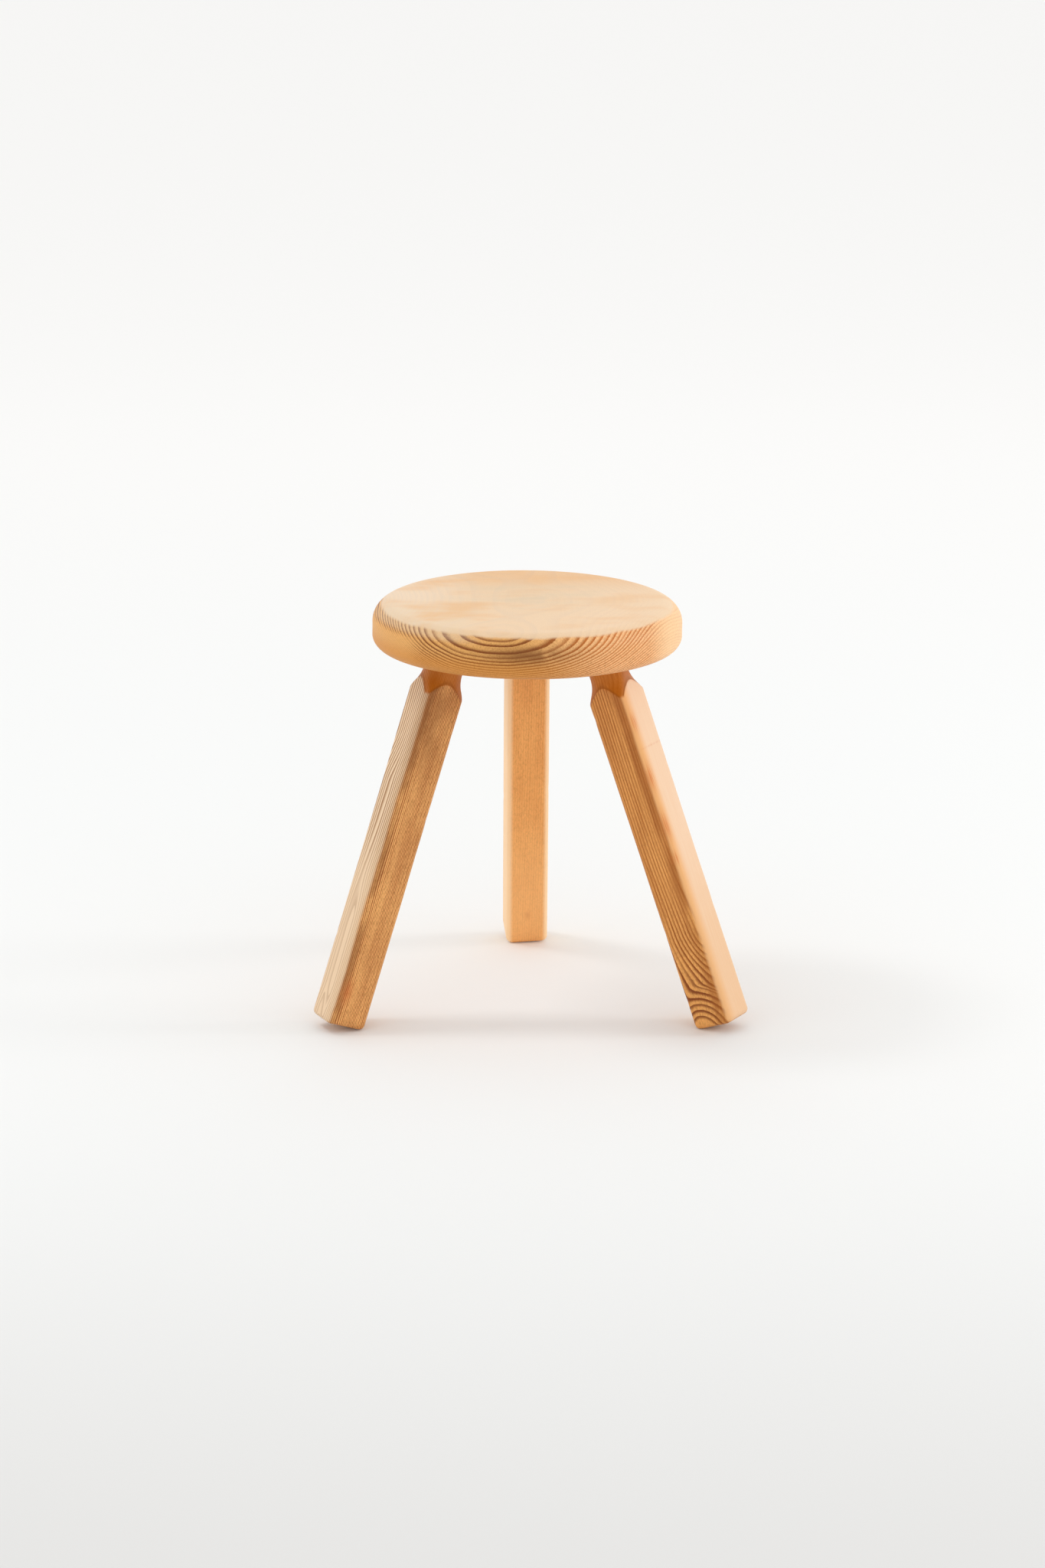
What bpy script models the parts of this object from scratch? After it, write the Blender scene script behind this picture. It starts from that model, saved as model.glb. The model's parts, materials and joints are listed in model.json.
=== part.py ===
"""A three-legged milking stool in solid pine, in metres with +Z up.

A thick turned seat stands on three splayed square legs. The top of each leg is turned down
to a round tenon, which is glued into a blind socket bored into the underside of the seat
at the leg's own angle. Each leg is cut off square to its own length, so it stands on the
inner edge of its end. The origin is on the floor, under the middle of the stool's
bounding box. The grain of the seat runs along Y, so its end grain faces -Y and +Y.
"""

import math
from collections import namedtuple

import bmesh
import bpy
from mathutils import Matrix, Vector

SEAT_DIAMETER = 0.300
SEAT_THICKNESS = 0.043
SEAT_HEIGHT = 0.403  # floor to the top of the seat
SEAT_TOP_ROUNDING = 0.0195
SEAT_BOTTOM_ROUNDING = 0.0112

LEG_SIDE = 0.0422  # square stock
LEG_EDGE_RADIUS = 0.0062
LEG_END_ROUNDING = 0.0052
LEG_STOCK_LENGTH = 0.360  # below the seat, before a leg is trimmed to the floor

TENON_RADIUS = 0.0189
TENON_DEPTH = 0.028  # along the leg, above the seat's underside
TENON_CHAMFER = 0.0015
COVE_RADIUS = 0.032
COVE_ANGLE = math.radians(28)  # where the hollow curve runs out into a cone
TURNING_RADIUS = 0.034  # clears the corners of the square

GLUE_GAP = 0.0003
SOCKET_CUTTER_BELOW = 0.030

TURNING_STEPS = 48
SEAT_STEPS = 96
ROUNDING_STEPS = 7

# azimuth: where the leg leans, anticlockwise from +X. splay: its lean from the vertical.
# reach: from the seat's axis to the leg's axis, on the underside of the seat.
# twist: how far the square is turned about the leg's own axis.
# shoulder: from the underside down to where the corners of the square begin.
Leg = namedtuple("Leg", "name azimuth splay reach twist shoulder")
LEGS = (
    Leg("left_front_leg", azimuth=207.4, splay=18.6, reach=0.0859, twist=-4.6, shoulder=0.041),
    Leg("right_front_leg", azimuth=334.8, splay=20.5, reach=0.0794, twist=-8.9, shoulder=0.045),
    Leg("back_leg", azimuth=89.4, splay=20.4, reach=0.0751, twist=6.8, shoulder=0.043),
)

PINE_SEAT = (0.62, 0.37, 0.18)
PINE_LEG = (0.55, 0.28, 0.10)
WOOD_ROUGHNESS = 0.55

UNDERSIDE = SEAT_HEIGHT - SEAT_THICKNESS


def clear_scene():
    for thing in list(bpy.data.objects):
        bpy.data.objects.remove(thing, do_unlink=True)


def wood(name, colour):
    material = bpy.data.materials.new(name)
    material.use_nodes = True
    shader = material.node_tree.nodes["Principled BSDF"]
    shader.inputs["Base Color"].default_value = (*colour, 1.0)
    shader.inputs["Roughness"].default_value = WOOD_ROUGHNESS
    shader.inputs["Metallic"].default_value = 0.0
    return material


def new_object(name, mesh):
    thing = bpy.data.objects.new(name, mesh)
    bpy.context.scene.collection.objects.link(thing)
    return thing


def mesh_from(bm, name):
    mesh = bpy.data.meshes.new(name)
    bm.to_mesh(mesh)
    bm.free()
    return mesh


def turned(name, profile, steps):
    """A solid of revolution about local Z. The profile is (radius, height), top to bottom."""
    mesh = bpy.data.meshes.new(name)
    points = [(radius, 0.0, height) for radius, height in profile]
    mesh.from_pydata(points, [(i, i + 1) for i in range(len(points) - 1)], [])
    thing = new_object(name, mesh)
    screw = thing.modifiers.new("turning", "SCREW")
    screw.axis = "Z"
    screw.steps = steps
    screw.render_steps = steps
    screw.use_merge_vertices = True
    screw.merge_threshold = 0.00001
    screw.use_smooth_shade = True
    return thing


def arc(centre, radius, start, end, steps):
    """Points on an arc in the profile's plane. Angles run from the outward direction."""
    angles = [start + (end - start) * i / steps for i in range(steps + 1)]
    return [
        (centre[0] + radius * math.cos(a), centre[1] + radius * math.sin(a)) for a in angles
    ]


def make_cutter(thing):
    thing.hide_render = True
    thing.display_type = "WIRE"
    return thing


def add_boolean(target, cutter, operation):
    cut = target.modifiers.new(cutter.name, "BOOLEAN")
    cut.operation = operation
    cut.object = cutter
    cut.solver = "EXACT"


def leg_matrix(leg):
    """Local +Z runs up the leg. The local origin is where its axis meets the underside."""
    azimuth = math.radians(leg.azimuth)
    place = Vector((leg.reach * math.cos(azimuth), leg.reach * math.sin(azimuth), UNDERSIDE))
    lean = Matrix.Rotation(azimuth, 4, "Z") @ Matrix.Rotation(-math.radians(leg.splay), 4, "Y")
    return Matrix.Translation(place) @ lean @ Matrix.Rotation(math.radians(leg.twist), 4, "Z")


def leg_stock(name, place):
    """A square bar with rounded edges, trimmed so that its lowest corner is on the floor."""
    height = LEG_STOCK_LENGTH + TENON_DEPTH
    middle = (TENON_DEPTH - LEG_STOCK_LENGTH) / 2
    bm = bmesh.new()
    bmesh.ops.create_cube(bm, size=1.0)
    bmesh.ops.scale(bm, vec=(LEG_SIDE, LEG_SIDE, height), verts=bm.verts)
    bmesh.ops.translate(bm, vec=(0, 0, middle), verts=bm.verts)

    long_edges = [e for e in bm.edges if abs(e.verts[0].co.z - e.verts[1].co.z) > height / 2]
    bmesh.ops.bevel(
        bm, geom=long_edges, offset=LEG_EDGE_RADIUS, segments=5, profile=0.5, affect="EDGES"
    )
    end_edges = [e for e in bm.edges if max(v.co.z for v in e.verts) < -LEG_STOCK_LENGTH / 2]
    bmesh.ops.bevel(
        bm, geom=end_edges, offset=LEG_END_ROUNDING, segments=3, profile=0.5, affect="EDGES"
    )

    lower_end = [v for v in bm.verts if v.co.z < middle]
    gap = min((place @ v.co).z for v in lower_end)
    splay = place.to_3x3().col[2].angle(Vector((0, 0, 1)))
    bmesh.ops.translate(bm, vec=(0, 0, -gap / math.cos(splay)), verts=lower_end)
    return new_object(name, mesh_from(bm, name))


def turning_profile(leg):
    """Tenon and neck, a hollow cove that runs out into a cone, then clear of the square."""
    top = TENON_DEPTH
    shaft = (LEG_SIDE / 2 - LEG_EDGE_RADIUS) * math.sqrt(2) + LEG_EDGE_RADIUS
    cove_drop = COVE_RADIUS * (1 - math.cos(COVE_ANGLE))
    cone_drop = shaft - TENON_RADIUS - cove_drop
    cone_end = -leg.shoulder
    cove_end = cone_end + cone_drop / math.tan(COVE_ANGLE)
    cove_start = cove_end + COVE_RADIUS * math.sin(COVE_ANGLE)
    centre = (TENON_RADIUS + COVE_RADIUS, cove_start)
    cove = arc(centre, COVE_RADIUS, math.pi, math.pi + COVE_ANGLE, ROUNDING_STEPS)
    run_out = cone_end - (TURNING_RADIUS - shaft) / math.tan(COVE_ANGLE)
    past_the_end = -2 * LEG_STOCK_LENGTH
    return [
        (0.0, top),
        (TENON_RADIUS - TENON_CHAMFER, top),
        (TENON_RADIUS, top - TENON_CHAMFER),
        *cove,
        (TURNING_RADIUS, run_out),
        (TURNING_RADIUS, past_the_end),
        (0.0, past_the_end),
    ]


def make_leg(leg, material):
    place = leg_matrix(leg)
    bar = leg_stock(leg.name, place)
    lathe = make_cutter(turned(leg.name + "_turning", turning_profile(leg), TURNING_STEPS))
    add_boolean(bar, lathe, "INTERSECT")
    bar.data.materials.append(material)
    for thing in (bar, lathe):
        thing.matrix_world = place
    return bar, lathe


def seat_profile():
    radius = SEAT_DIAMETER / 2
    top = (radius - SEAT_TOP_ROUNDING, SEAT_HEIGHT - SEAT_TOP_ROUNDING)
    bottom = (radius - SEAT_BOTTOM_ROUNDING, UNDERSIDE + SEAT_BOTTOM_ROUNDING)
    return [
        (0.0, SEAT_HEIGHT),
        *arc(top, SEAT_TOP_ROUNDING, math.pi / 2, 0.0, ROUNDING_STEPS),
        *arc(bottom, SEAT_BOTTOM_ROUNDING, 0.0, -math.pi / 2, ROUNDING_STEPS),
        (0.0, UNDERSIDE),
    ]


def make_socket_cutter(leg):
    """A round bar as wide as the socket, from its blind end to well below the seat."""
    radius = TENON_RADIUS + GLUE_GAP
    depth = TENON_DEPTH + GLUE_GAP
    profile = [
        (0.0, depth),
        (radius, depth),
        (radius, -SOCKET_CUTTER_BELOW),
        (0.0, -SOCKET_CUTTER_BELOW),
    ]
    cutter = make_cutter(turned(leg.name + "_socket", profile, TURNING_STEPS))
    cutter.matrix_world = leg_matrix(leg)
    return cutter


def make_seat(material):
    seat = turned("seat", seat_profile(), SEAT_STEPS)
    seat.data.materials.append(material)
    cutters = [make_socket_cutter(leg) for leg in LEGS]
    for cutter in cutters:
        add_boolean(seat, cutter, "DIFFERENCE")
    return [seat, *cutters]


def middle_of(things):
    """The middle of the things' common bounding box, on the floor."""
    bpy.context.view_layer.update()
    graph = bpy.context.evaluated_depsgraph_get()
    corners = []
    for thing in things:
        shape = thing.evaluated_get(graph)
        corners += [shape.matrix_world @ Vector(v.co) for v in shape.data.vertices]
    x = [corner.x for corner in corners]
    y = [corner.y for corner in corners]
    return Vector(((min(x) + max(x)) / 2, (min(y) + max(y)) / 2, 0.0))


clear_scene()
pieces = make_seat(wood("seat_pine", PINE_SEAT))
leg_pine = wood("leg_pine", PINE_LEG)
for each_leg in LEGS:
    pieces += make_leg(each_leg, leg_pine)

stool = new_object("stool", None)
for piece in pieces:
    piece.parent = stool
stool.location = -middle_of([piece for piece in pieces if not piece.hide_render])
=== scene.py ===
# %% [markdown]
# # A pine milking stool
# A thick round seat stands on three splayed square legs. A stool like this is made in an
# afternoon: the seat is turned or sawn from one wide board, each leg is planed square, its
# top is turned down to a round tenon, and the tenon is glued into a blind socket that is
# bored up into the seat at the leg's own angle. Nothing moves, and no screw shows.
#
# The CAD model fixes the sizes and the places, so this lesson starts from it. Everything
# that is measured below is read from the frame: the seat's box gives its middle, its radius
# and its thickness, and the flat end of each leg gives the leg's axis.

# %% Load the frame
import json
import math

import bpy
import numpy as np
from mathutils import Matrix, Vector


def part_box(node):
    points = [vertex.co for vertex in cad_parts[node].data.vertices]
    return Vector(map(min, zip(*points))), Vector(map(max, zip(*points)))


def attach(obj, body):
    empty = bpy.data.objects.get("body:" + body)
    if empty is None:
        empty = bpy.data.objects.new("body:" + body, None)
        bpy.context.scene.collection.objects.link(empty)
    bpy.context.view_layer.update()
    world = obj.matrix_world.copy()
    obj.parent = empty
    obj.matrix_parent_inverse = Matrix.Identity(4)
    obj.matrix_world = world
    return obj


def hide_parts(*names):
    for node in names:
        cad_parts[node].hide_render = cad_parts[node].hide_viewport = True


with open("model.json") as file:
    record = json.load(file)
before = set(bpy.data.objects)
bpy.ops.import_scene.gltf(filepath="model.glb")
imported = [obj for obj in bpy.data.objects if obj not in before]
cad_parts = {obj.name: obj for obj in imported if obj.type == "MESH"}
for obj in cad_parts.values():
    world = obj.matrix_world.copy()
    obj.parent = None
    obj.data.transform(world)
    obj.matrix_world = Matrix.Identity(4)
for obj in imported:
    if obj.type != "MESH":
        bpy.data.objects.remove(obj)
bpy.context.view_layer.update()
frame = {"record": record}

seat_low, seat_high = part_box("seat")
SEAT_RADIUS = (seat_high.x - seat_low.x) / 2
SEAT_TOP = seat_high.z
UNDERSIDE = seat_low.z
seat_middle = Vector(((seat_low.x + seat_high.x) / 2, (seat_low.y + seat_high.y) / 2, 0))
MM = 0.001
print(f"seat: radius {SEAT_RADIUS / MM:.1f} mm, from {UNDERSIDE / MM:.1f} to {SEAT_TOP / MM:.1f} mm")

# %% [markdown]
# ## Where each leg stands
# A leg leans out from the seat. Its axis can be had from two places: from angles that are
# written down, or from the frame. The frame is better, because then a leg can't drift away
# from its socket. The record gives the middle of each leg's flat end and the direction in
# which that end faces. Going back up the leg from there until the seat's underside is
# reached gives the leg's own origin. Only the turn of the square about its own axis, and
# where its shoulder begins, have to be said.
#
# Grain has a direction too, so each piece gets a grain frame: its third axis runs along
# the fibres. For a leg the first axis points outwards, the second one sideways, and the
# third one down the leg. For the seat they run along X, down, and along Y.

# %% Grain frames
TWIST = {"left_front_leg": -4.6, "right_front_leg": -8.9, "back_leg": 6.8}
SHOULDER = {"left_front_leg": 41 * MM, "right_front_leg": 45 * MM, "back_leg": 43 * MM}


def leg_frame(name):
    """The leg's grain frame and its length below the seat, from the flat end in the record."""
    end = next(m for m in frame["record"]["mounts"] if m["name"] == name + "_end")
    foot = Vector(end["pos_m"])
    down = Vector(end["axis"]).normalized()
    length = (UNDERSIDE - foot.z) / -down.z
    azimuth = math.atan2(down.y, down.x)
    splay = math.acos(-down.z)
    turn = Matrix.Rotation(azimuth, 4, "Z") @ Matrix.Rotation(-splay, 4, "Y")
    turn = turn @ Matrix.Rotation(math.radians(TWIST[name]), 4, "Z")
    return Matrix.Translation(foot - down * length) @ turn @ Matrix.Rotation(math.pi, 4, "X"), length


LEG_FRAMES = {name: leg_frame(name) for name in TWIST}
SEAT_FRAME = Matrix.Translation(seat_middle + Vector((0, 0, SEAT_TOP))) @ Matrix.Rotation(
    -math.pi / 2, 4, "X"
)
for leg_name, (_, leg_length) in LEG_FRAMES.items():
    print(f"{leg_name}: {leg_length / MM:.1f} mm from the seat to its end")

# %% [markdown]
# ## One way to make every piece
# A piece of turned or planed wood is a tube: rings of points, one after another, each
# closed on itself, with both ends drawn together to a point. Modifiers could make that from
# a few edges. A grid of points that numpy works out at once is better here, because every
# point can then carry its own wear: a corner that is rubbed down, a dent, a hollow.

# %% A closed skin from rings of points
def skin(name, rings, first, last):
    """A closed mesh. rings[i, j] goes along with i and round with j; each ring is joined to
    the next by quads, and the two end rings are closed by fans to the points first and last.
    Six times the volume is the sum of a . (b x c) over the triangles a, b, c: where that
    comes out negative the faces point inwards, so their order is turned round."""
    count, around = rings.shape[:2]
    points = np.concatenate([rings.reshape(-1, 3), [first], [last]])
    i, j = np.meshgrid(np.arange(count - 1), np.arange(around), indexing="ij")
    here = i * around + j
    beside = i * around + (j + 1) % around
    quads = np.stack([here, beside, beside + around, here + around], axis=-1).reshape(-1, 4)
    rim = np.arange(around)
    after = (rim + 1) % around
    end = (count - 1) * around
    top = np.stack([after, rim, np.full(around, len(points) - 2)], axis=-1)
    bottom = np.stack([end + rim, end + after, np.full(around, len(points) - 1)], axis=-1)
    thirds = np.concatenate([quads[:, :3], quads[:, [0, 2, 3]], top, bottom])
    a, b, c = points[thirds[:, 0]], points[thirds[:, 1]], points[thirds[:, 2]]
    way = 1 if np.sum(a * np.cross(b, c)) > 0 else -1
    faces = [face[::way].tolist() for face in (*quads, *top, *bottom)]
    mesh = bpy.data.meshes.new(name)
    mesh.from_pydata(points.tolist(), [], faces)
    mesh.shade_smooth()
    thing = bpy.data.objects.new(name, mesh)
    bpy.context.scene.collection.objects.link(thing)
    print(f"{name}: {len(points)} points")
    return thing


def ripple(seed, *angles):
    """A smooth random wave from -1 to 1 of one or two angles: a sum of four cosines with whole
    numbers of waves, so that it closes on itself where an angle goes right round."""
    rng = np.random.default_rng(seed)
    total = 0
    for wave in range(1, 5):
        phase = rng.uniform(0, 2 * np.pi)
        turns = rng.integers(1, 4, len(angles)) * wave
        total = total + np.cos(sum(n * angle for n, angle in zip(turns, angles)) + phase) / wave
    return total / 2.1


# %% [markdown]
# ## The seat
# The seat is one board, 43 mm thick, with a generous round on its upper edge and a
# smaller one below. It could be a cylinder with a bevel. A profile that is turned about the
# seat's axis is as simple, and it lets the wear in: decades of sitting leave a shallow
# hollow in the middle and rub the upper edge a little unevenly.

# %% Turn the seat
SEAT_COLUMNS = 360
TOP_ROUND = 19.5 * MM
BOTTOM_ROUND = 11.2 * MM
HOLLOW_DEPTH = 0.7 * MM
HOLLOW_RADIUS = 105 * MM
EDGE_WAVE = 0.15 * MM
FLAT_RINGS = 34
BEND_RINGS = 22


def seat_rings():
    """The seat as rings. Seen from the side, the profile runs out over the flat top, round a
    quarter circle, down the edge, round a second quarter circle and in along the underside.
    The top sinks by depth x (1 - (r / radius)^2)^2 inside the hollow, and the upper round's
    radius follows a slow wave round the seat."""
    around = np.linspace(0, 2 * np.pi, SEAT_COLUMNS, endpoint=False)[None, :]
    wear = 1 + 0.05 * ripple(3, around)
    upper = TOP_ROUND * wear
    lower = BOTTOM_ROUND * (1 + 0.04 * ripple(5, around))
    flat = np.linspace(0.03, 1, FLAT_RINGS)[:, None]
    bend = np.linspace(0, np.pi / 2, BEND_RINGS)[1:, None]
    side = np.linspace(0, 1, 8)[1:-1, None]
    radius = np.concatenate([
        flat * (SEAT_RADIUS - upper),
        SEAT_RADIUS - upper + upper * np.sin(bend),
        np.full((len(side), SEAT_COLUMNS), SEAT_RADIUS),
        SEAT_RADIUS - lower + lower * np.cos(bend - bend[0]),
        flat[::-1] * (SEAT_RADIUS - lower),
    ])
    height = np.concatenate([
        np.full((len(flat), SEAT_COLUMNS), SEAT_TOP),
        SEAT_TOP - upper + upper * np.cos(bend),
        SEAT_TOP - upper + side * (UNDERSIDE + lower - SEAT_TOP + upper),
        UNDERSIDE + lower - lower * np.sin(bend - bend[0]),
        np.full((len(flat), SEAT_COLUMNS), UNDERSIDE),
    ])
    bowl = np.clip(1 - (radius / HOLLOW_RADIUS) ** 2, 0, 1) ** 2
    height = height - HOLLOW_DEPTH * bowl * (height > (SEAT_TOP + UNDERSIDE) / 2)
    radius = radius - EDGE_WAVE * (1 + ripple(8, around, height * 60)) * (radius > HOLLOW_RADIUS)
    x = seat_middle.x + radius * np.cos(around)
    y = seat_middle.y + radius * np.sin(around)
    return np.stack([x, y, height], axis=-1)


seat = skin(
    "seat_board",
    seat_rings(),
    (seat_middle.x, seat_middle.y, SEAT_TOP - HOLLOW_DEPTH),
    (seat_middle.x, seat_middle.y, UNDERSIDE),
)

# %% [markdown]
# ## The legs
# Each leg is a square bar whose edges are rounded over, and the lathe has taken its top
# down to a round neck. Where the hollow cove of the turning runs out through the four
# flats it leaves an arch on each of them, with a small shoulder at every corner. On a
# bench that is two cuts. Here it is one comparison: at each height and in each direction
# the leg reaches as far as the square bar does, or as far as the turning does, whichever is
# less. The arches come out by themselves.
#
# The tenon runs on into the seat, so the joint is a real one.

# %% The square bar and the turning
LEG_SIDE = 42.2 * MM
EDGE_RADIUS = 6.2 * MM
END_ROUND = 5.2 * MM
TENON_RADIUS = 18.9 * MM
TENON_DEPTH = 28 * MM
TENON_CHAMFER = 1.5 * MM
COVE_RADIUS = 32 * MM
COVE_ANGLE = math.radians(28)
ARRIS = 0.5 * MM
LEG_COLUMNS = 208
CLOSE_RINGS_TO = 52 * MM
CLOSE_STEP = 0.6 * MM
WIDE_STEP = 2.4 * MM
END_RINGS = 7
DENTS = 9


def square_reach(angle, half, corner):
    """How far a rounded square reaches in a direction. Across a flat that is half / cos(angle).
    Round a corner it is where a line from the middle leaves the corner's circle: with the
    circle's centre at (k, k), k (cos + sin) + sqrt(corner^2 - k^2 (cos - sin)^2)."""
    fold = np.abs((angle + np.pi / 4) % (np.pi / 2) - np.pi / 4)
    cos, sin = np.cos(fold), np.sin(fold)
    k = half - corner
    rounded = k * (cos + sin) + np.sqrt(np.maximum(corner**2 - (k * (cos - sin)) ** 2, 0))
    return np.where(half * np.tan(fold) < k, half / cos, rounded)


def turned_reach(t, shoulder):
    """The turning's radius at a distance t below the seat: the tenon's own radius, then a
    hollow arc, then a straight cone that reaches the square's corners at the shoulder."""
    corner_reach = (LEG_SIDE / 2 - EDGE_RADIUS) * math.sqrt(2) + EDGE_RADIUS
    arc_rise = COVE_RADIUS * (1 - math.cos(COVE_ANGLE))
    cone_start = shoulder - (corner_reach - TENON_RADIUS - arc_rise) / math.tan(COVE_ANGLE)
    arc_start = cone_start - COVE_RADIUS * math.sin(COVE_ANGLE)
    along = np.clip(t - arc_start, 0, cone_start - arc_start)
    arc = COVE_RADIUS - np.sqrt(COVE_RADIUS**2 - along**2)
    cone = np.maximum(t - cone_start, 0) * math.tan(COVE_ANGLE)
    chamfer = np.maximum(-TENON_DEPTH + TENON_CHAMFER - t, 0)
    return TENON_RADIUS + arc + cone - chamfer


def lesser(a, b, width):
    """The smaller of two lengths, with the corner between them rounded over that width."""
    overlap = np.maximum(width - np.abs(a - b), 0) / width
    return np.minimum(a, b) - overlap**2 * width / 4


# %% Carve a leg
def even_angles():
    """Directions that divide the square's outline into equal lengths: the outline's length is
    added up over many small angles, and the angles at equal shares of it are read back."""
    fine = np.linspace(0, 2 * np.pi, 4001)
    reach = square_reach(fine, LEG_SIDE / 2, EDGE_RADIUS)
    step = np.hypot(np.diff(reach * np.cos(fine)), np.diff(reach * np.sin(fine)))
    length = np.concatenate([[0], np.cumsum(step)])
    return np.interp(np.linspace(0, length[-1], LEG_COLUMNS, endpoint=False), length, fine)


def leg_rings(length, shoulder, seed):
    """The leg in its grain frame, from the tenon's end down to the foot. Rings lie close
    together through the cove and the rounded end. The corner radius follows a slow wave down
    the leg, each edge differently, and shallow dents fall along the edges: each takes off
    depth x exp(-distance^2) round a random place."""
    rng = np.random.default_rng(seed)
    bend = np.linspace(0, np.pi / 2, 10)[1:]
    t = np.concatenate([
        [-TENON_DEPTH, -TENON_DEPTH + TENON_CHAMFER, -TENON_DEPTH / 2],
        np.arange(-2 * MM, CLOSE_RINGS_TO, CLOSE_STEP),
        np.arange(CLOSE_RINGS_TO + 2 * MM, length - END_ROUND - MM, WIDE_STEP),
        length - END_ROUND + END_ROUND * np.sin(bend),
        np.full(END_RINGS, length),
    ])[:, None]
    angle = even_angles()[None, :]
    inset = np.zeros_like(t)
    inset[-END_RINGS - len(bend):-END_RINGS, 0] = END_ROUND * (1 - np.cos(bend))
    inset[-END_RINGS:] = END_ROUND

    down = 2 * np.pi * t / (2.2 * length)
    corner = EDGE_RADIUS * (1.08 + 0.1 * ripple(seed, angle, down)) - inset
    half = LEG_SIDE / 2 * (0.997 + 0.003 * ripple(seed + 1, angle, down)) - inset
    square = square_reach(angle, half, np.maximum(corner, 0.6 * MM))
    reach = lesser(square, turned_reach(t, shoulder), ARRIS)
    for _ in range(DENTS):
        place = rng.uniform(60 * MM, length - 15 * MM)
        edge = math.pi / 4 + math.pi / 2 * rng.integers(4) + rng.normal(0, 0.1)
        size = rng.uniform(2, 6) * MM
        turned = (angle - edge + np.pi) % (2 * np.pi) - np.pi
        away = ((t - place) / size) ** 2 + (turned * LEG_SIDE / 2 / size) ** 2
        reach = reach - rng.uniform(0.15, 0.5) * MM * np.exp(-away)
    shrink = np.ones_like(t)
    shrink[-END_RINGS:, 0] = np.linspace(0.98, 0.1, END_RINGS)
    reach = reach * shrink
    return np.stack([reach * np.cos(angle), reach * np.sin(angle), t + 0 * angle], axis=-1)


FOOT_WEAR = 0.1 * MM

legs = {}
for number, (leg_name, (place, length)) in enumerate(LEG_FRAMES.items()):
    end = length - FOOT_WEAR
    grid = leg_rings(end, SHOULDER[leg_name], seed=20 + number)
    piece = skin(leg_name.replace("_leg", "_turned_leg"), grid, (0, 0, -TENON_DEPTH), (0, 0, end))
    piece.data.transform(place)
    legs[leg_name] = piece

# %% [markdown]
# ## The sockets
# The seat has a blind round socket for each tenon, bored at the leg's angle. A Boolean
# with a plain round cutter is what the boring bit does, so it is the natural way. Each
# socket is 0.3 mm wider all round than its tenon, which leaves a glue line seen from below.

# %% Bore the sockets
GLUE_GAP = 0.3 * MM
BIT_COLUMNS = 96


def boring_bit(name, place):
    """A round bar from the socket's blind end down to well below the seat: rings of one
    radius, at the two ends of the bar."""
    around = np.linspace(0, 2 * np.pi, BIT_COLUMNS, endpoint=False)
    along = np.array([-TENON_DEPTH - GLUE_GAP, 30 * MM])[:, None]
    x = (TENON_RADIUS + GLUE_GAP) * np.cos(around) + 0 * along
    y = (TENON_RADIUS + GLUE_GAP) * np.sin(around) + 0 * along
    grid = np.stack([x, y, along + 0 * x], axis=-1)
    bit = skin(name, grid, (0, 0, along[0, 0]), (0, 0, along[1, 0]))
    bit.data.transform(place)
    return bit


def bore(thing, bits):
    """Cuts each bit out of the thing, and keeps the cut mesh in place of the modifiers."""
    for bit in bits:
        cut = thing.modifiers.new(bit.name, "BOOLEAN")
        cut.operation = "DIFFERENCE"
        cut.object = bit
    graph = bpy.context.evaluated_depsgraph_get()
    mesh = bpy.data.meshes.new_from_object(thing.evaluated_get(graph))
    thing.modifiers.clear()
    thing.data = mesh
    for bit in bits:
        bpy.data.objects.remove(bit)


bore(seat, [boring_bit(name + "_bit", place) for name, (place, _) in LEG_FRAMES.items()])
seat.data.shade_smooth()
seat.data.set_sharp_from_angle(angle=math.radians(35))
print(f"seat after boring: {len(seat.data.polygons)} faces")

# %% Each piece stands for its CAD node
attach(seat, "root")
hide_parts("seat")
for leg_name, piece in legs.items():
    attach(piece, "root")
    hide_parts(leg_name)

# %% [markdown]
# ## Writing shader maths as sums
# The look of wood is arithmetic: how far a point is from the pith, how many rings that
# makes, how far into a year's growth it lies. Node by node that is slow to build and hard
# to read. A small class that stands for one socket lets the same sums be written as Python:
# every operator adds its Math node.

# %% A socket that can be added and multiplied
class Field:
    """A number that varies over the surface: one output socket of a shader node."""

    def __init__(self, shade, socket):
        self.shade = shade
        self.socket = socket

    def math(self, operation, *others):
        return self.shade.node("ShaderNodeMath", {"operation": operation}, [self, *others])

    def __add__(self, other):
        return self.math("ADD", other)

    def __mul__(self, other):
        return self.math("MULTIPLY", other)

    def __sub__(self, other):
        return self.math("SUBTRACT", other)

    def __rsub__(self, other):
        return self.shade.node("ShaderNodeMath", {"operation": "SUBTRACT"}, [other, self])

    def __truediv__(self, other):
        return self.math("DIVIDE", other)

    def __neg__(self):
        return self * -1

    __radd__ = __add__
    __rmul__ = __mul__

    def least(self, other):
        return self.math("MINIMUM", other)

    def most(self, other):
        return self.math("MAXIMUM", other)

    def ease(self, low, high):
        """0 below low, 1 above high and a smooth slope between; high may be the smaller."""
        settings = {"interpolation_type": "SMOOTHSTEP"}
        sockets = {"Value": self, "From Min": min(low, high), "From Max": max(low, high)}
        slope = self.shade.node("ShaderNodeMapRange", settings, sockets, "Result")
        return slope if low < high else 1 - slope


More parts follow.
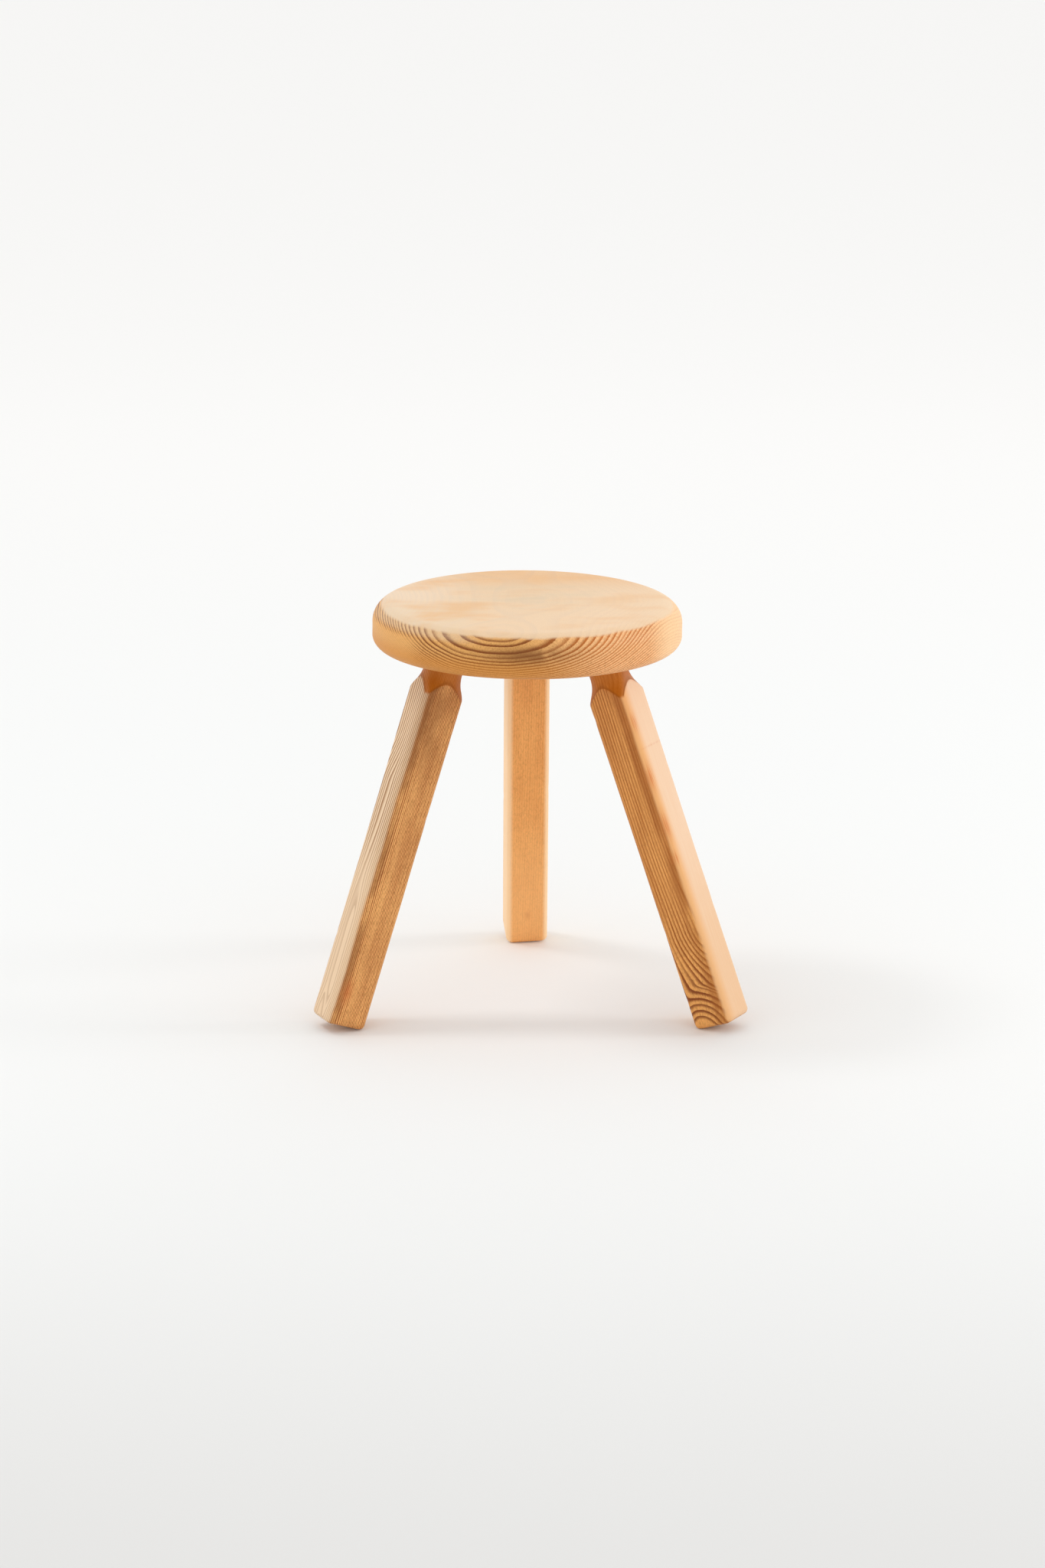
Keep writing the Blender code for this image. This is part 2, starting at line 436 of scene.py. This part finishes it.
class Shade:
    """The nodes of a material or a world, and the one method that adds any node to them."""

    def __init__(self, owner):
        owner.use_nodes = True
        self.owner = owner
        self.tree = owner.node_tree
        self.tree.nodes.clear()

    def node(self, kind, settings=None, sockets=None, output=0):
        """Adds a node: settings are set first, then sockets, by name or in order, from numbers,
        colours or fields. Gives back the field of the named output."""
        node = self.tree.nodes.new(kind)
        for key, value in (settings or {}).items():
            setattr(node, key, value)
        pairs = sockets.items() if isinstance(sockets, dict) else enumerate(sockets or [])
        for key, value in pairs:
            if isinstance(value, Field):
                self.tree.links.new(value.socket, node.inputs[key])
            else:
                node.inputs[key].default_value = value
        return Field(self, node.outputs[output]) if len(node.outputs) else node

    def mix(self, share, first, second, blend="MIX"):
        """One colour towards another: by share, from 0 to 1, blended in the named way."""
        settings = {"data_type": "RGBA", "blend_type": blend}
        sockets = {0: share, 6: first, 7: second}
        return self.node("ShaderNodeMix", settings, sockets, 2)

    def scaled(self, vector, by):
        sockets = [vector, by]
        return self.node("ShaderNodeVectorMath", {"operation": "MULTIPLY"}, sockets)

    def noise(self, vector, by, detail=2.0, roughness=0.5, output="Fac"):
        """Smooth noise from 0 to 1, with `by` waves in a millimetre along each axis."""
        sockets = {"Vector": self.scaled(vector, by), "Scale": 1.0}
        sockets |= {"Detail": detail, "Roughness": roughness}
        return self.node("ShaderNodeTexNoise", {}, sockets, output)


def srgb(red, green, blue, alpha=1.0):
    """A colour as a paint chart gives it, from 0 to 255, as the linear numbers of a shader."""
    chart = np.array([red, green, blue]) / 255
    linear = np.where(chart <= 0.04045, chart / 12.92, ((chart + 0.055) / 1.055) ** 2.4)
    return (*linear.tolist(), alpha)


# %% [markdown]
# ## Pine
# Pine grows a pale soft band each spring and a hard amber band each summer. The amber
# darkens slowly and ends at a sharp edge, where the next spring starts. Cut along the
# trunk, the bands become lines; cut across a board that lay near the pith, they become
# arcs. An image could be wrapped round each piece, but then the lines on two faces that
# meet wouldn't meet. A ring number that is worked out for every point of space is right on
# all faces at once, end grain included, just as it is in the real board.
#
# Each piece below says only how its rings run. What a ring looks like is the same for all
# of them: the band profile, a strength that differs from year to year, fibres that are
# drawn out along the grain, short resin streaks, and slow changes of tone.

# %% Points, fibres and rings
BEND_AMOUNT = 1.6


class Pine(Shade):
    """A material in a piece's own grain frame: a and b cross the fibres, t runs along them,
    all in millimetres."""

    def __init__(self, name, place, ring_number, seed):
        super().__init__(bpy.data.materials.new(name))
        where = self.node("ShaderNodeTexCoord", {}, {}, "Object")
        turn = place.to_euler()
        frame_of_grain = {"Vector": where, "Location": place.translation, "Rotation": turn}
        frame_of_grain |= {"Scale": (MM, MM, MM)}
        self.point = self.node("ShaderNodeMapping", {"vector_type": "TEXTURE"}, frame_of_grain)
        shift = {"operation": "ADD"}
        self.own = self.node("ShaderNodeVectorMath", shift, [self.point, (seed * 37.0, 0, 0)])
        bend = self.noise(self.own, (0.022, 0.022, 0.006), 2, 0.5, "Color")
        bend = self.node("ShaderNodeVectorMath", {"operation": "SUBTRACT"}, [bend, (0.5, 0.5, 0.5)])
        bend = self.scaled(bend, (2 * BEND_AMOUNT, 2 * BEND_AMOUNT, 0))
        bent = self.node("ShaderNodeVectorMath", shift, [self.point, bend])
        self.a, self.b, self.t = self.parts(self.point)

        self.fibre = self.noise(self.own, (1.1, 1.1, 0.016), 3, 0.6)
        self.hair = self.noise(self.own, (3.6, 3.6, 0.05), 2, 0.6)
        self.mottle = self.noise(self.own, (0.05, 0.05, 0.018), 3, 0.55)
        self.grit = self.noise(self.own, (0.8, 0.8, 0.3), 2, 0.7)

        rings = ring_number(*self.parts(bent)) + (self.fibre - 0.5) * 0.22
        year = rings.math("FLOOR")
        season = rings - year
        self.band = season.ease(0.28, 0.86) * season.ease(1.0, 0.92)
        settings = {"noise_dimensions": "1D"}
        self.vigour = self.node("ShaderNodeTexWhiteNoise", settings, {"W": year + seed}, "Value")

    def parts(self, vector):
        return [self.node("ShaderNodeSeparateXYZ", {}, [vector], axis) for axis in "XYZ"]

    def blot(self, centre, size):
        """A soft spot: exp(-(distance / size)^2), with its own size along a, b and t."""
        offset = {"operation": "SUBTRACT"}
        away = self.node("ShaderNodeVectorMath", offset, [self.point, centre])
        away = self.scaled(away, tuple(1 / s for s in size))
        square = self.node("ShaderNodeVectorMath", {"operation": "DOT_PRODUCT"}, [away, away], "Value")
        return (-square).math("EXPONENT")

    def finish(self, colour, rough, height):
        """Wires the shader. Height is in millimetres, and only ever a fraction of one."""
        relief = {"Height": height, "Distance": MM, "Strength": 1.0}
        relief = self.node("ShaderNodeBump", {}, relief)
        sockets = {"Base Color": colour, "Roughness": rough, "Normal": relief}
        sockets |= {"IOR": 1.47, "Specular IOR Level": 0.3}
        shader = self.node("ShaderNodeBsdfPrincipled", {}, sockets)
        self.node("ShaderNodeOutputMaterial", {}, {"Surface": shader})
        return self.owner


# %% [markdown]
# ## The seat's wood
# The board was sawn just under the pith, so its front edge shows the ends of the rings as
# flat arcs that stand on each other, close together towards the right, and the top
# shows only the faint long ovals where a few rings come up to the surface. The edge is
# darker near the middle, where shade is painted on, and handling has left it greyer at the
# upper left and rubbed smooth and orange along the lower left. The top is bleached and has
# a few amber clouds, and a painted sheen lies over it.

# %% Rings of the seat
PITH_WAVE = 150
CORE = 13.2
EVEN_BEYOND = 42


def seat_ring_number(a, b, t):
    """Rings round a pith that wanders along the board. Its height over the top and its place
    across it follow a slow cosine of t, whose wave is PITH_WAVE mm long. The distance from it
    is sqrt(wide^2 + deep^2), where wide grows as 0.31 w + 0.00035 w^2, because the rings are
    flattened. Inside CORE mm of that distance rings are 4 mm apart. From there to EVEN_BEYOND
    mm their number is quadratic, so they draw closer together, and beyond it they are evenly
    1.6 mm apart."""
    waves = (t - 8) * (2 * math.pi / PITH_WAVE)
    lift = 7.4 - 5 * waves.math("COSINE")
    middle = 18 * (waves * 0.5).math("COSINE") - 13
    w = (a - middle).math("ABSOLUTE")
    wide = w * 0.31 + w * w * 0.00035
    deep = b + lift
    distance = (wide * wide + deep * deep).math("SQRT")
    near = distance.most(CORE).least(EVEN_BEYOND)
    curve = 2.02 - near * 0.1 + near * near * 0.0075
    return curve + (distance - EVEN_BEYOND).most(0) * 0.63 + (distance - CORE).least(0) * 0.25


def ring_colours(pine, line, early, late):
    """Pale spring wood and dark summer wood, with streaks of resin drawn out along the grain and
    a fine speckle of open pores."""
    colour = pine.mix(line.least(1), early, late)
    streak = pine.fibre.ease(0.52, 0.78) * 0.32 + pine.hair.ease(0.52, 0.8) * 0.24
    colour = pine.mix(streak, colour, late)
    speckle = pine.mix(pine.grit.ease(0.28, 0.6), srgb(216, 210, 198), srgb(255, 255, 255))
    return pine.mix(0.9, colour, speckle, "MULTIPLY")


# %% [markdown]
# ### From bare pine to a used seat
# The real seat looks bare or oiled, not varnished. Its top has gone cream, partly bleached
# and partly a painted sheen, and its edge is darker, yellower and darkest at the front,
# where painted shade lies. Such marks could be painted on by hand, but paint needs an image
# to hold it. Soft masks over the seat's own millimetres need none, and they hold from every
# side: how deep a point lies below the top, how far to the left or right it is, and how far
# back. Each mask is a share from 0 to 1 by which one tone covers the tones under it.
#
# The rings come first. Each year has its own strength, and the rings fade on the top, at
# both ends of the edge, and low down on its left half; on the top and at the right end that
# fading is painted sheen. To the right they are lighter, partly in the board's own tone
# and partly as painted light from that side.

# %% The seat's rings in two tones
pine = Pine("seat pine", SEAT_FRAME, seat_ring_number, seed=1)
a, b, t = pine.a, pine.b, pine.t
top = (b + 3 * (pine.mottle - 0.5)).ease(4.6, 2)
front = t.ease(20, -50)

contrast = 0.75 + 0.5 * pine.vigour
# Painted sheen: the rings fade out on the top.
contrast = contrast * (1 - 0.64 * top)
contrast = contrast * (1 - 0.62 * a.ease(-100, -122) * b.ease(10, 16))
contrast = contrast * (1 - 0.45 * b.ease(26, 38) * a.ease(30, -30))
# Painted sheen: the rings fade at the right end of the edge.
contrast = contrast * (1 - 0.5 * a.ease(105, 140))
line = pine.band * contrast

# Lighter to the right: partly the board's own tone, partly painted light from that side.
right = a.ease(-20, 90)
early = pine.mix(right, srgb(232, 172, 98), srgb(250, 194, 138))
late = pine.mix(right, srgb(138, 74, 14), srgb(204, 118, 46))
colour = ring_colours(pine, line, early, late)
# Painted sheen and painted light pale the far right end of the edge.
colour = pine.mix(a.ease(112, 138) * 0.5, colour, srgb(255, 218, 170))
print(f"seat pine: {len(pine.tree.nodes)} nodes for its rings")

# %% [markdown]
# Next the tones of use, and painted light. The top is bleached, with a painted sheen over
# it, warmer at the back and paler at the left. The edge is greyed at its upper left, rubbed
# to amber at its left end, amber low down, and darkened by painted shade in the middle of
# the front. Amber clouds and a grey one lie on the top.

# %% Bleached and rubbed places, painted sheen and painted shade
BLEACHED_WITH_SHEEN = srgb(232, 205, 172)
WARM_BLEACHED_WITH_SHEEN = srgb(226, 186, 142)
PALE_BLEACHED_WITH_SHEEN = srgb(234, 216, 194)
GREY_RIM = srgb(224, 198, 162)
GREY_CLOUD = srgb(204, 184, 152)
WARM_CLOUD = srgb(226, 168, 100)
SHADE_AND_GRIME_BROWN = srgb(120, 64, 12)
AMBER = srgb(232, 172, 100)
LOW_AMBER = srgb(202, 124, 36)

# The top's pale tones are partly bleaching and partly a painted sheen.
pale = pine.mix(t.ease(30, 110), BLEACHED_WITH_SHEEN, WARM_BLEACHED_WITH_SHEEN)
pale = pine.mix(a.ease(-40, -110) * 0.6, pale, PALE_BLEACHED_WITH_SHEEN)
colour = pine.mix(top * 0.84, colour, pale)
rim = a.ease(-40, -75) * b.ease(13, 6) * front
colour = pine.mix(rim * 0.55 * (1 - 0.6 * pine.band), colour, GREY_RIM)
rubbed_end = a.ease(-95, -120) * b.ease(10, 16)
colour = pine.mix(rubbed_end * 0.6, colour, AMBER)
low_edge = b.ease(18, 34) * a.ease(70, 0)
colour = pine.mix(low_edge * 0.5, colour, LOW_AMBER)
# Painted shade: darker in the middle of the front edge.
painted_shade_spot = pine.blot((-2, 18, -150), (36, 8, 60)) * pine.mottle.ease(0.15, 0.5)
colour = pine.mix(painted_shade_spot * 0.75, colour, SHADE_AND_GRIME_BROWN)
cloud = pine.noise(pine.own, (0.013, 0.03, 0.026), 2, 0.5)
warm = top * cloud.ease(0.44, 0.72) * (0.36 + 0.2 * a.ease(40, -60))
colour = pine.mix(warm, colour, WARM_CLOUD)
grey = pine.blot((5, 0, 25), (70, 9, 55)) * (0.4 + 0.6 * cloud.ease(0.52, 0.36))
colour = pine.mix(grey * 0.55, colour, GREY_CLOUD)
print(f"seat pine: {len(pine.tree.nodes)} nodes with the tones of use")

# %% [markdown]
# Last the touch. The hard summer wood is a little smoother and stands a few hundredths of a
# millimetre proud of the soft spring wood, and the fibres roughen both.

# %% Roughness and relief of the seat
rough = 0.42 + 0.14 * pine.hair - 0.08 * line + 0.06 * pine.mottle
height = line * 0.03 + pine.fibre * 0.06 + pine.hair * 0.05
seat.data.materials.clear()
seat.data.materials.append(pine.finish(colour, rough, height))
print(f"seat pine: {len(pine.tree.nodes)} nodes in all")

# %% [markdown]
# ## The legs' wood
# No two legs match, as if each was sawn from its own billet. The left one has narrow
# straight rings on the face towards the front and broad wandering ones on its outer face,
# where the saw ran nearly along a ring. The right one has wider rings that swing round a
# branch at the foot. The back one is plain, pale and even.

# %% Rings of the legs
def left_ring_number(a, b, t):
    """Nearly flat rings, 1.6 mm apart along a and tilted by 0.36 towards b. Near the outer
    face they wander: the whole set drifts by up to 21 mm along b, and one broad ring
    opens out between b = 6 and b = -10 further down."""
    drift = -8 + 13 * t.ease(80, 135) + 8 * t.ease(140, 330) + 6 * t.ease(335, 372)
    swell = 2.2 * t.ease(80, 140) + 3.8 * t.ease(215, 280)
    wander = swell * b.ease(6, -10) - 0.36 * (drift + 8)
    return (a + 0.36 * b + wander * a.ease(4, 20)) / 1.6


BRANCH_ACROSS = -10
BRANCH_DOWN = 384
BRANCH_CORE = 12
BRANCH_SPACING = 4.5


def right_ring_number(a, b, t):
    """Flat rings counted from a = -21, 3.2 mm apart at the top and 4.3 mm at the foot, which
    lean outwards from t = 280, and long rings round a branch just past the foot, which lie
    further apart on their outer side. The lower of the two numbers holds, and a soft minimum
    joins them smoothly."""
    lean = (3.3 + 0.12 * a) * t.ease(280, 345)
    flat = (a + 21 + 0.08 * b) / (3.2 + 1.1 * t.ease(180, 322)) - lean
    across = (a - BRANCH_ACROSS) * 0.95
    across = across - across.math("ABSOLUTE") * 0.15
    along = (t - BRANCH_DOWN) * 0.75
    inward = (21 - b) * 0.9
    branch = (across * across + along * along + inward * inward).math("SQRT")
    knot = branch.most(BRANCH_CORE) / BRANCH_SPACING - 6.45 + (branch - 36).most(0) * 0.3
    return flat.math("SMOOTH_MIN", knot, 2.0)


def back_ring_number(a, b, t):
    """Rings 2.4 mm apart along b, leaning a little down the leg."""
    return (b + 0.22 * a + 0.018 * t) / 2.4


# %% [markdown]
# ### One finish, three legs
# All three legs share most of their finish: two tones for the rings, the honey colour of
# the turned neck, and the roughness that follows the fibres. It could be one material for
# all. Then every leg would carry the same marks in the same places, which real legs never
# do, so a function makes the shared part and each leg adds its own marks between.

# %% What the legs share
HONEY = srgb(188, 106, 2)
NECK_SHADE_BROWN = srgb(112, 54, 4)


def leg_pine(name, ring_number, seed, early, late, strength):
    """The common part of a leg's finish: its rings, fibres and resin streaks in two tones."""
    pine = Pine(name, LEG_FRAMES[name][0], ring_number, seed)
    line = pine.band * (0.6 + 0.7 * pine.vigour) * strength
    base = pine.mix(pine.mottle.ease(0.3, 0.7) * 0.3, early, late)
    return pine, ring_colours(pine, line, base, late), line


def give_leg(name, pine, colour, line):
    """The turned neck is a darker honey colour, as slanting cuts across the fibres are when
    they have drunk more oil, with a line of painted shade in the cove where it meets the
    flats. It is found by its reach: out on a flat the greater of |a| and |b| is half the
    leg's side, and on the turning it is less. Then the roughness, the relief and the wiring."""
    shoulder = SHOULDER[name] / MM
    reach = pine.a.math("ABSOLUTE").most(pine.b.math("ABSOLUTE")) + 0.8 * (pine.mottle - 0.5)
    neck = reach.ease(20.8, 20.3) * pine.t.ease(shoulder + 1, shoulder - 3)
    colour = pine.mix(neck * 0.76, colour, HONEY)
    # Painted shade along the cove where it meets the flats.
    cove_shade_line = reach.ease(19.0, 20.2) * neck
    colour = pine.mix(cove_shade_line * 0.3, colour, NECK_SHADE_BROWN)
    rough = 0.4 + 0.16 * pine.hair - 0.08 * line + 0.08 * pine.mottle
    height = line * 0.03 + pine.fibre * 0.07 + pine.hair * 0.05
    legs[name].data.materials.clear()
    legs[name].data.materials.append(pine.finish(colour, rough, height))
    print(f"{name} pine: {len(pine.tree.nodes)} nodes")


# %% [markdown]
# The left front leg has a cream outer face with thin tan lines, which get fainter further
# down. Its front face is brown. It is darkest beside the arch of the neck, where painted
# shade fills the cove, a little less so along the edge, and below the neck, where painted
# shade stands for the seat's shadow, and it has a rubbed spot low down.

# %% Finish the left front leg
name = "left_front_leg"
pine, colour, line = leg_pine(name, left_ring_number, 2, srgb(255, 192, 118), srgb(156, 78, 20), 1.0)
arris = pine.a + 4 * (pine.mottle - 0.5)
outer = arris.ease(15.5, 19)
far_down = pine.t.ease(170, 240)
tan_lines = pine.band * (1 - 0.6 * far_down)
cream = pine.mix(tan_lines, srgb(233, 202, 166), srgb(156, 108, 62))
colour = pine.mix(outer, colour, cream)
along_arris = arris.ease(8, 13) * arris.ease(18.5, 16) * pine.mottle.ease(0.25, 0.6)
colour = pine.mix(along_arris * 0.5, colour, SHADE_AND_GRIME_BROWN)
# Painted shade just below the neck, where the seat's shadow falls.
painted_shade_spot = pine.blot((4, -21, 62), (16, 9, 50)) * pine.mottle.ease(0.2, 0.6)
colour = pine.mix(painted_shade_spot * 0.5, colour, SHADE_AND_GRIME_BROWN)
# Painted shade in the cove beside the arch.
cove_painted_shade = pine.blot((12, -13, 29), (6, 6, 9))
colour = pine.mix(cove_painted_shade * 0.8, colour, srgb(96, 44, 4))
rubbed = pine.blot((9, -21, 340), (5, 6, 12))
colour = pine.mix(rubbed * 0.5, colour, srgb(196, 100, 40))
give_leg(name, pine, colour, line)

# %% [markdown]
# The right front leg is calmer above and bold at the foot, where its rings run round the
# branch. A darker band lies along the edge between its two front faces. The outer face is
# pale and plain, with a few orange rubs down its front side and one faint scratch across it.

# %% Finish the right front leg
name = "right_front_leg"
pine, colour, line = leg_pine(name, right_ring_number, 3, srgb(244, 176, 98), srgb(156, 82, 14), 0.95)
calm = pine.mix(pine.fibre.ease(0.35, 0.65), srgb(232, 162, 88), srgb(178, 104, 36))
above_foot = pine.t.ease(300, 230) * pine.a.ease(22, 19)
colour = pine.mix(above_foot * 0.42, colour, calm)
foot = pine.t.ease(300, 340) * pine.b.ease(0, 14) * pine.a.ease(21, 12)
colour = pine.mix(foot * pine.band * 0.6, colour, srgb(112, 50, 6))
along_arris = pine.a.ease(6, 13) * pine.a.ease(20.5, 18) * pine.b.ease(10, 18)
along_arris = along_arris * pine.mottle.ease(0.2, 0.55)
colour = pine.mix(along_arris * 0.6, colour, srgb(158, 86, 18))
plane = pine.mix(pine.b.ease(4, 17), srgb(241, 211, 181), srgb(236, 178, 116))
plane = pine.mix(pine.t.ease(170, 330) * 0.5, plane, srgb(228, 184, 136))
plane = pine.mix(pine.fibre * 0.4, plane, srgb(226, 158, 96))
outer = (pine.a + 2 * (pine.mottle - 0.5)).ease(17, 20.3)
colour = pine.mix(outer, colour, plane)
rubs = (
    pine.blot((21, 15, 71), (6, 4, 9))
    + pine.blot((21, 16, 126), (7, 4, 12))
    + pine.blot((21, 17, 176), (6, 4, 13))
    + pine.blot((21, 18, 208), (5, 3, 6))
)
scratch = pine.blot((21, 0, 98), (7, 22, 0.9)) * 0.35
marks = (rubs + scratch).least(1) * 0.8 * pine.fibre.ease(0.35, 0.6)
colour = pine.mix(marks, colour, srgb(206, 108, 44))
give_leg(name, pine, colour, line)

# %% [markdown]
# The back leg is the plainest. It gets lighter towards the foot, it carries a painted
# highlight along its edges and side faces, and it has one small knock low on the face that
# looks inwards.

# %% Finish the back leg
name = "back_leg"
pine, colour, line = leg_pine(name, back_ring_number, 4, srgb(255, 188, 110), srgb(206, 118, 44), 0.4)
colour = pine.mix(0.35, colour, srgb(246, 176, 102))
knock = pine.blot((-21, 0, 341), (6, 3, 5))
colour = pine.mix(knock * 0.5, colour, srgb(190, 100, 40))
colour = pine.mix(pine.t.ease(180, 340) * 0.4, colour, srgb(250, 190, 126))
# Painted highlight: lighter along the edges and on the side faces.
edges = pine.b.math("ABSOLUTE").ease(14.5, 19)
colour = pine.mix(edges * 0.75, colour, srgb(255, 222, 178))
give_leg(name, pine, colour, line)

# %% [markdown]
# ## Floor, light and camera
# The stool stands in a white studio, on a pale floor with no edge in sight from the front.
# Light comes from all round, a touch more from behind and nearly a third less from
# overhead, so the seat's top isn't brighter than the floor round it. Two soft lamps, one on
# the right and a weaker one high on the left, brighten the outer faces of the legs and lay
# faint shadows on the floor. One strong lamp would be simpler, but it would bleach the
# seat and throw a hard shadow.
#
# The floor is painted a little deeper towards the camera and a little lighter far behind
# the stool: painted shade near the camera and painted light far back, a fall-off of light
# across the floor.

# %% Floor
FLOOR_SIZE = 60.0
WHITE_FLOOR = (0.87, 0.88, 0.878, 1.0)
NEAR_FLOOR_PAINTED_SHADE = (0.75, 0.745, 0.735, 1.0)
FAR_FLOOR_PAINTED_LIGHT = (0.975, 0.972, 0.965, 1.0)
NEAR_FADE = (-0.2, -1.7)
FAR_FADE = (0.3, 3.0)


def flat_floor():
    """A square in the plane z = 0."""
    half = FLOOR_SIZE / 2
    corners = np.array([[-half, -half, 0], [half, -half, 0], [half, half, 0], [-half, half, 0]])
    mesh = bpy.data.meshes.new("studio_floor")
    mesh.from_pydata(corners.tolist(), [], [(0, 1, 2, 3)])
    floor = bpy.data.objects.new("studio_floor", mesh)
    bpy.context.scene.collection.objects.link(floor)
    return floor


floor = flat_floor()
paint = Shade(bpy.data.materials.new("floor paint"))
where = paint.node("ShaderNodeTexCoord", {}, {}, "Object")
away = paint.node("ShaderNodeSeparateXYZ", {}, [where], "Y")
# Painted shade towards the camera, painted light far behind the stool.
floor_with_painted_falloff = paint.mix(away.ease(*NEAR_FADE), WHITE_FLOOR, NEAR_FLOOR_PAINTED_SHADE)
floor_with_painted_falloff = paint.mix(away.ease(*FAR_FADE), floor_with_painted_falloff, FAR_FLOOR_PAINTED_LIGHT)
chalky = {"Base Color": floor_with_painted_falloff, "Roughness": 0.9, "Specular IOR Level": 0.1}
surface = paint.node("ShaderNodeBsdfPrincipled", {}, chalky)
paint.node("ShaderNodeOutputMaterial", {}, {"Surface": surface})
floor.data.materials.append(paint.owner)

# %% Light from all round
SKY_TINT = (1.0, 0.999, 0.992, 1.0)
GLOW = 1.08
MORE_BEHIND = 0.06
LESS_OVERHEAD = 0.3

sky = Shade(bpy.data.worlds.new("studio"))
bpy.context.scene.world = sky.owner
direction = sky.node("ShaderNodeTexCoord", {}, {}, "Generated")
behind = sky.node("ShaderNodeSeparateXYZ", {}, [direction], "Y")
above = sky.node("ShaderNodeSeparateXYZ", {}, [direction], "Z")
glow = GLOW + MORE_BEHIND * behind.ease(-0.9, 0.7) - LESS_OVERHEAD * above.ease(0.3, 1.0)
backdrop = sky.node("ShaderNodeBackground", {}, {"Color": SKY_TINT, "Strength": glow})
sky.node("ShaderNodeOutputWorld", {}, {"Surface": backdrop})


def soft_light(name, place, target, size, watts):
    """A square lamp of that size at a place, turned to face the target."""
    lamp = bpy.data.lights.new(name, "AREA")
    lamp.shape = "SQUARE"
    lamp.size = size
    lamp.energy = watts
    thing = bpy.data.objects.new(name, lamp)
    thing.location = place
    thing.rotation_euler = (Vector(target) - Vector(place)).to_track_quat("-Z", "Y").to_euler()
    bpy.context.scene.collection.objects.link(thing)
    return thing


LAMP_TARGET = (0, 0, 0.1)
soft_light("right_window", (2.8, 0.1, 1.45), LAMP_TARGET, 0.8, 15.5)
soft_light("left_lamp", (-1.3, 0.1, 2.3), LAMP_TARGET, 0.5, 7.5)

# %% Camera
LENS_MM = 115.0
CAMERA_PLACE = Vector((-0.0559, -4.716, 1.5086))
YAW, PITCH, ROLL = -0.635, -15.287, -0.39


def aimed_camera():
    """A long lens, 4.7 m away and about a metre above the seat, which looks down by 15 degrees.
    Yaw, pitch and roll are turns about Z, X and Y of a camera that looks along +Y."""
    camera = bpy.data.cameras.new("camera")
    camera.lens = LENS_MM
    camera.sensor_width = 36.0
    camera.clip_end = 200.0
    turn = (
        Matrix.Rotation(math.radians(YAW), 3, "Z")
        @ Matrix.Rotation(math.radians(PITCH), 3, "X")
        @ Matrix.Rotation(math.radians(ROLL), 3, "Y")
    )
    looks_along_y = Matrix.Rotation(math.pi / 2, 3, "X")
    thing = bpy.data.objects.new("camera", camera)
    thing.matrix_world = Matrix.Translation(CAMERA_PLACE + seat_middle) @ (turn @ looks_along_y).to_4x4()
    bpy.context.scene.collection.objects.link(thing)
    return thing


bpy.context.scene.camera = aimed_camera()
bpy.context.scene.view_settings.view_transform = "Standard"
